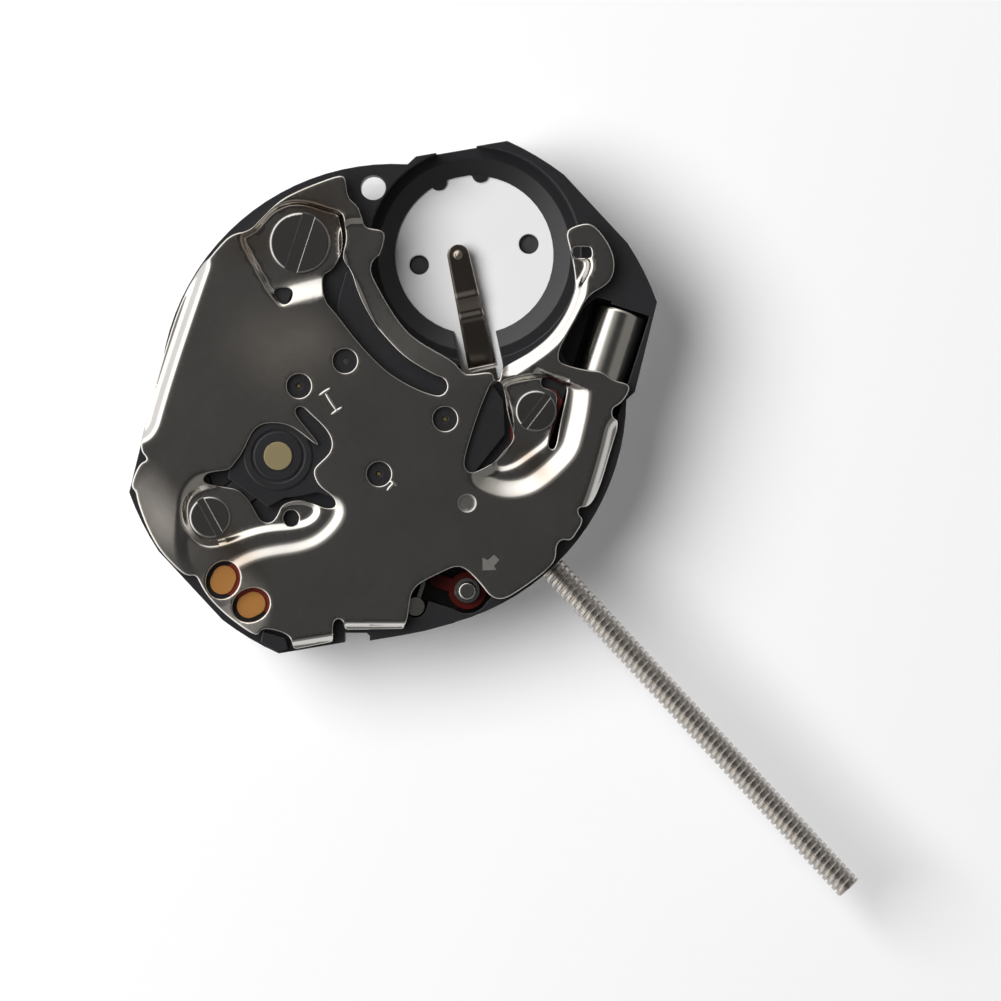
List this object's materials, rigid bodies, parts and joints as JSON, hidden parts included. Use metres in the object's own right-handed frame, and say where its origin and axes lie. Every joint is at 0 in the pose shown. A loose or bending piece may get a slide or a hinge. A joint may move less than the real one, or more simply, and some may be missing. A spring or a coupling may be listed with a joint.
{
  "type": "quartz watch movement",
  "caption": "Small analogue quartz movement with its threaded stem, battery well, crystal, wheel train, motion works and hand seats.",
  "frame": {"origin": "on the axis of the hands, in the face that the dial lies on", "axes": "+Z to the battery side, +X along the stem to the crown, +Y towards the battery"},
  "size_m": [0.0295, 0.018, 0.0047],
  "materials": {
    "black_plastic": "satin moulded plastic",
    "white_plastic": "satin moulded plastic",
    "nickel": "nickel-plated sheet, smooth",
    "steel": "turned and polished",
    "brass": "turned",
    "copper": "plated copper",
    "board": "dark red laminate",
    "chip_resin": "moulded resin",
    "winding": "enamelled copper wire",
    "iron": "annealed soft iron",
    "magnet": "sintered magnet",
    "lever_red": "dark red coating"
  },
  "bodies": {
    "movement": {"main_plate": "black_plastic", "dial_side_plate": "white_plastic", "dial_side_screws": "steel", "train_bridge": "black_plastic", "rotor_bush": "brass", "cover_plate": "nickel", "large_cover_screw": "steel", "small_cover_screw": "steel", "clamp_screw": "steel", "circuit_board": "board", "chip": "chip_resin", "test_pads": "copper", "crystal_can": "steel", "crystal_leads": "copper", "coil_core": "iron", "coil_winding": "winding", "coil_flanges": "black_plastic", "stator": "iron", "fifth_wheel_stud": "steel", "setting_wheel_pin": "steel", "lever_pins": "steel", "jumper_spring": "nickel", "battery_contact_foot": "steel"},
    "rotor": {"rotor_magnet": "magnet", "rotor_pinion": "steel"},
    "intermediate": {"intermediate_wheel": "brass"},
    "fifth": {"fifth_wheel": "brass"},
    "seconds": {"seconds_wheel": "brass"},
    "third": {"third_wheel": "brass"},
    "centre": {"centre_wheel": "brass"},
    "cannon": {"cannon_pinion": "brass"},
    "hour": {"hour_wheel": "brass"},
    "minute": {"minute_wheel": "brass"},
    "setting": {"setting_wheel": "brass"},
    "clutch": {"clutch_wheel": "steel"},
    "winding_stem": {"stem": "steel"},
    "release_post": {"setting_lever_post": "steel"},
    "detent": {"setting_lever": "lever_red"},
    "yoke_lever": {"yoke": "nickel"},
    "hack_lever": {"reset_lever": "steel"},
    "contact_leaf": {"battery_contact_spring": "steel"}
  },
  "joints": [
    {"name": "seconds_turn", "type": "hinge", "parent": "movement", "child": "seconds", "pos_m": [0, 0, 0.0015], "axis": [0, 0, 1], "continuous": true},
    {"name": "rotor_turn", "type": "hinge", "parent": "movement", "child": "rotor", "pos_m": [-0.00114, -0.00405, 0.0015], "axis": [0, 0, 1], "continuous": true},
    {"name": "intermediate_turn", "type": "hinge", "parent": "movement", "child": "intermediate", "pos_m": [-0.00234, -0.002, 0.0015], "axis": [0, 0, 1], "continuous": true},
    {"name": "fifth_turn", "type": "hinge", "parent": "movement", "child": "fifth", "pos_m": [-0.00192, -0.00034, 0.0015], "axis": [0, 0, 1], "continuous": true},
    {"name": "third_turn", "type": "hinge", "parent": "movement", "child": "third", "pos_m": [0.00168, 0.00076, 0.0015], "axis": [0, 0, 1], "continuous": true},
    {"name": "centre_turn", "type": "hinge", "parent": "movement", "child": "centre", "pos_m": [0, 0, 0.0015], "axis": [0, 0, 1], "continuous": true},
    {"name": "minute_turn", "type": "hinge", "parent": "movement", "child": "minute", "pos_m": [0.00153, -0.00204, 0.0007], "axis": [0, 0, 1], "continuous": true},
    {"name": "cannon_turn", "type": "hinge", "parent": "movement", "child": "cannon", "pos_m": [0, 0, 0.0007], "axis": [0, 0, 1], "continuous": true},
    {"name": "hour_turn", "type": "hinge", "parent": "movement", "child": "hour", "pos_m": [0, 0, 0.0004], "axis": [0, 0, 1], "continuous": true},
    {"name": "setting_turn", "type": "hinge", "parent": "movement", "child": "setting", "pos_m": [0.00317, 0.00025, 0.0007], "axis": [0, 0, 1], "continuous": true},
    {"name": "stem_turn", "type": "hinge", "parent": "movement", "child": "clutch", "pos_m": [0.0048, 0, 0.00135], "axis": [1, 0, 0], "continuous": true},
    {"name": "stem_pull", "type": "slide", "parent": "clutch", "child": "winding_stem", "axis": [1, 0, 0], "range_m": [0, 0.0005]},
    {"name": "release_press", "type": "slide", "parent": "movement", "child": "release_post", "axis": [0, 0, -1], "range_m": [0, 0.00022], "stiffness_N_per_m": 300},
    {"name": "setting_lever_swing", "type": "hinge", "parent": "release_post", "child": "detent", "pos_m": [0.00627, -0.00253, 0.00073], "axis": [0, 0, -1], "range_deg": [0, 11.5]},
    {"name": "yoke_swing", "type": "hinge", "parent": "movement", "child": "yoke_lever", "pos_m": [0.0042, -0.0031, 0.00135], "axis": [0, 0, 1], "range_deg": [0, 4.4]},
    {"name": "reset_lever_swing", "type": "hinge", "parent": "movement", "child": "hack_lever", "pos_m": [0.00445, -0.00175, 0.0021], "axis": [0, 0, -1], "range_deg": [0, 4.2]},
    {"name": "contact_press", "type": "hinge", "parent": "movement", "child": "contact_leaf", "pos_m": [0.00124, 0.00281, 0.00036], "axis": [-0.5121, -0.8589, 0], "range_deg": [0, 4], "stiffness_Nm_per_rad": 0.02}
  ],
  "couplings": [
    {"joint": "rotor_turn", "follows": "seconds_turn", "ratio": -30},
    {"joint": "intermediate_turn", "follows": "seconds_turn", "ratio": 5},
    {"joint": "fifth_turn", "follows": "seconds_turn", "ratio": -4},
    {"joint": "third_turn", "follows": "seconds_turn", "ratio": -0.13333},
    {"joint": "centre_turn", "follows": "seconds_turn", "ratio": 0.016667},
    {"joint": "cannon_turn", "follows": "minute_turn", "ratio": -3},
    {"joint": "hour_turn", "follows": "minute_turn", "ratio": -0.25},
    {"joint": "setting_turn", "follows": "minute_turn", "ratio": -2.1176},
    {"joint": "setting_lever_swing", "follows": "stem_pull", "rad_per_m": 396},
    {"joint": "yoke_swing", "follows": "stem_pull", "rad_per_m": 149},
    {"joint": "reset_lever_swing", "follows": "stem_pull", "rad_per_m": 142}
  ]
}
